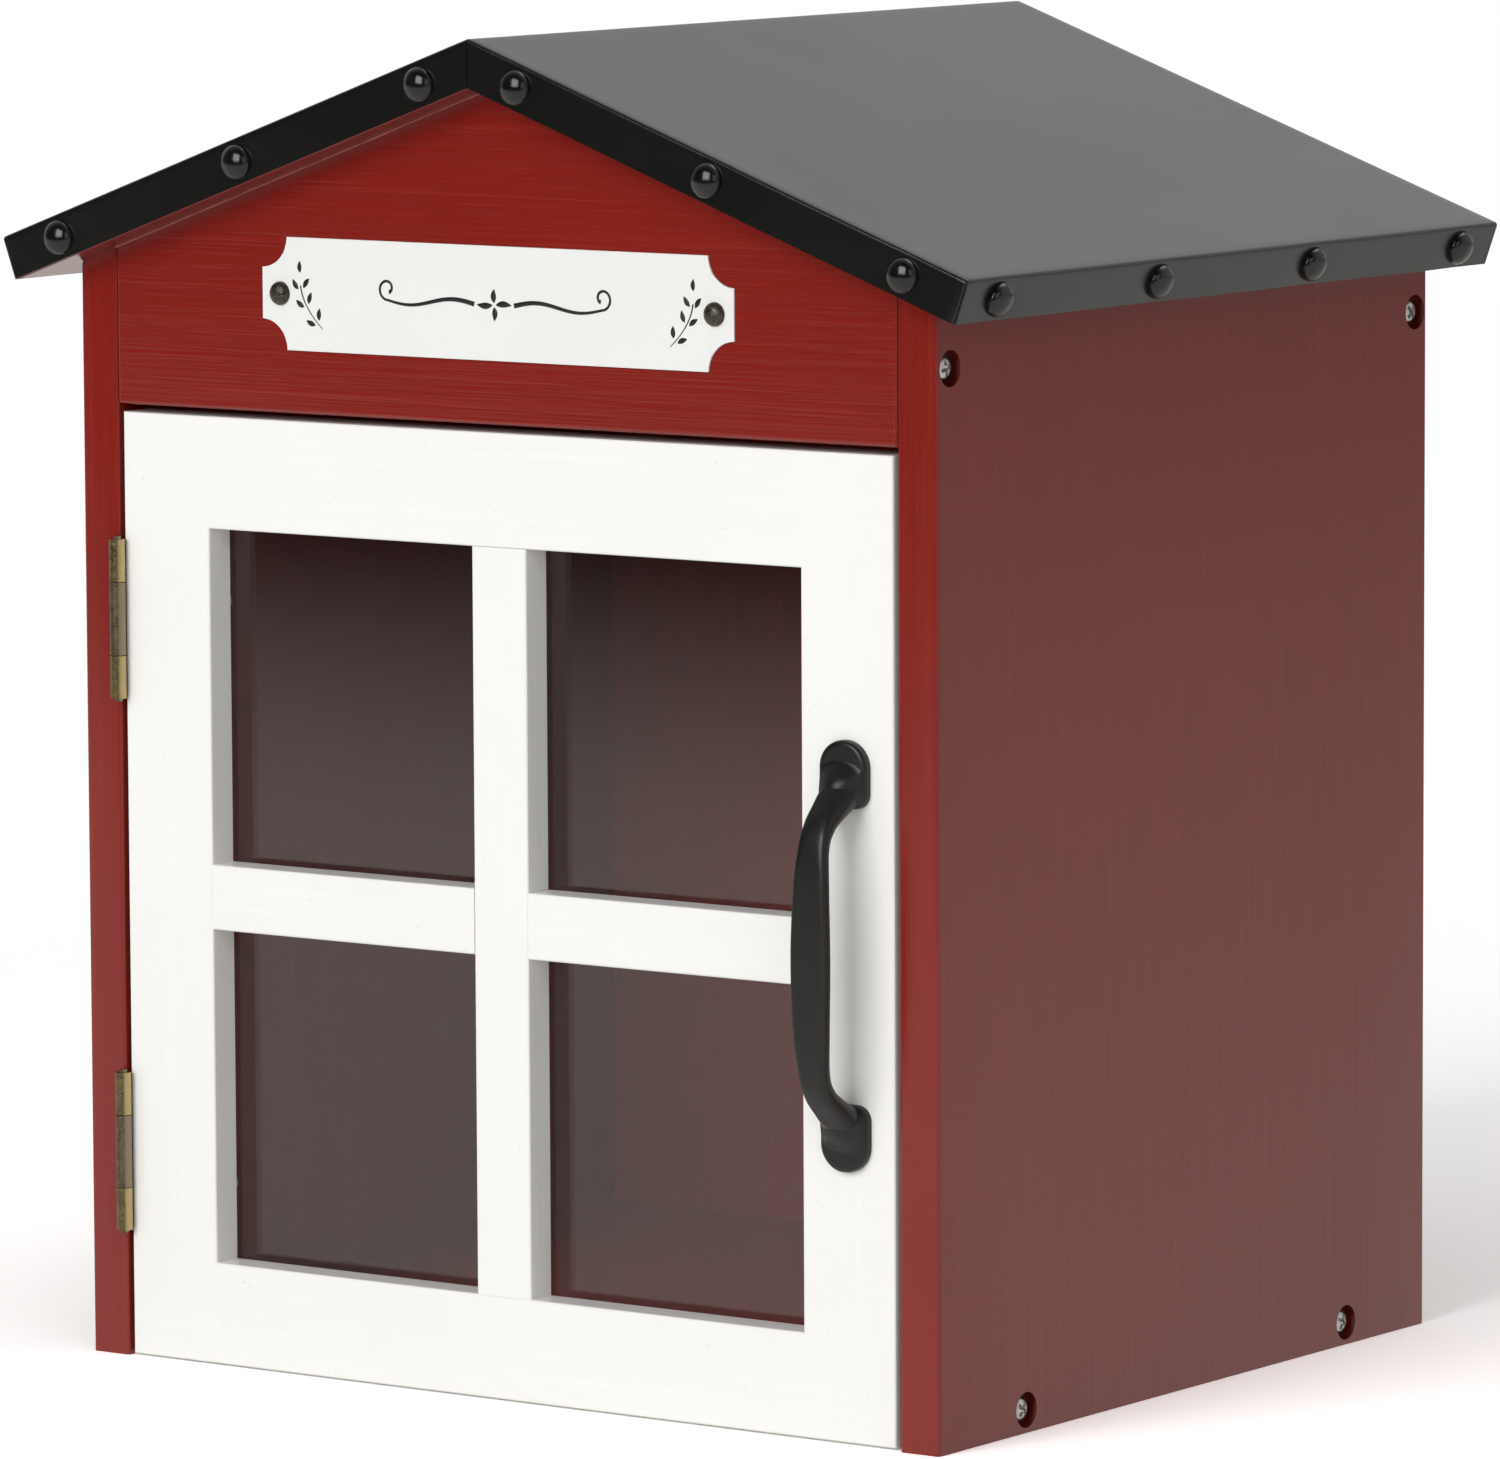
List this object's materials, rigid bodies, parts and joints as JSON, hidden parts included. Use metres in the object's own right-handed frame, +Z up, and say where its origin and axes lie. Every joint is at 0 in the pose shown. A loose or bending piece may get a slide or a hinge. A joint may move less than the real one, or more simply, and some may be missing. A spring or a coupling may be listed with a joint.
{
  "type": "street book exchange box",
  "caption": "Small gabled cabinet for swapping books, with a metal-clad roof, a blank sign plate and a glazed side-hung door with an arch pull.",
  "frame": {"origin": "centre of the cabinet's own footprint (side boards to back, without the roof's overhang or the handle), on the surface it stands on", "axes": "+X to the viewer's right, +Y from the door towards the back, +Z up"},
  "size_m": [0.466, 0.3946, 0.5314],
  "materials": {
    "red_paint": "satin oil paint on pine",
    "white_paint": "satin oil paint on pine",
    "roof_wood": "pine painted where it shows",
    "roof_metal": "weathered zinc-coated sheet, matt",
    "dark_nail": "domed zinc-coated nail head",
    "sign_enamel": "smooth enamel on thin sheet",
    "sign_nail": "aged nail head",
    "old_brass": "aged brass",
    "brass_pin": "worn brass pin",
    "black_iron": "black lacquered casting",
    "screw_steel": "zinc-plated screw",
    "clear_sheet": "clear acrylic sheet",
    "catch_plastic": "moulded brown plastic",
    "magnet": "ferrite magnet",
    "pole_steel": "zinc-plated steel plate"
  },
  "bodies": {
    "cabinet": {"side_panel_left": "red_paint", "side_panel_right": "red_paint", "gable_front": "red_paint", "back_panel": "red_paint", "bottom_panel": "red_paint", "roof_board_left": "roof_wood", "roof_board_right": "roof_wood", "roof_sheet": "roof_metal", "roof_nails_front": "dark_nail", "roof_nails_back": "dark_nail", "roof_nails_left": "dark_nail", "roof_nails_right": "dark_nail", "roof_board_screws": "screw_steel", "side_screws_left": "screw_steel", "side_screws_right": "screw_steel", "back_screws": "screw_steel", "sign_plate": "sign_enamel", "sign_nails": "sign_nail", "hinge_upper_frame_leaf": "old_brass", "hinge_lower_frame_leaf": "old_brass", "hinge_upper_pin": "brass_pin", "hinge_lower_pin": "brass_pin", "hinge_frame_screws": "old_brass", "catch_housing": "catch_plastic", "catch_magnet": "magnet", "catch_poles": "pole_steel", "catch_screws": "screw_steel"},
    "door": {"door_stile_left": "white_paint", "door_stile_right": "white_paint", "door_rail_bottom": "white_paint", "door_rail_top": "white_paint", "muntin_upright": "white_paint", "muntin_cross": "white_paint", "window_pane": "clear_sheet", "pane_screws": "screw_steel", "hinge_upper_door_leaf": "old_brass", "hinge_lower_door_leaf": "old_brass", "hinge_door_screws": "old_brass", "handle": "black_iron", "handle_screws": "screw_steel", "catch_strike": "pole_steel", "strike_screws": "screw_steel"}
  },
  "joints": [
    {"name": "door_swing", "type": "hinge", "parent": "cabinet", "child": "door", "pos_m": [-0.1857, -0.1782, 0.18805], "axis": [0, 0, 1], "range_deg": [-180, 0]}
  ]
}
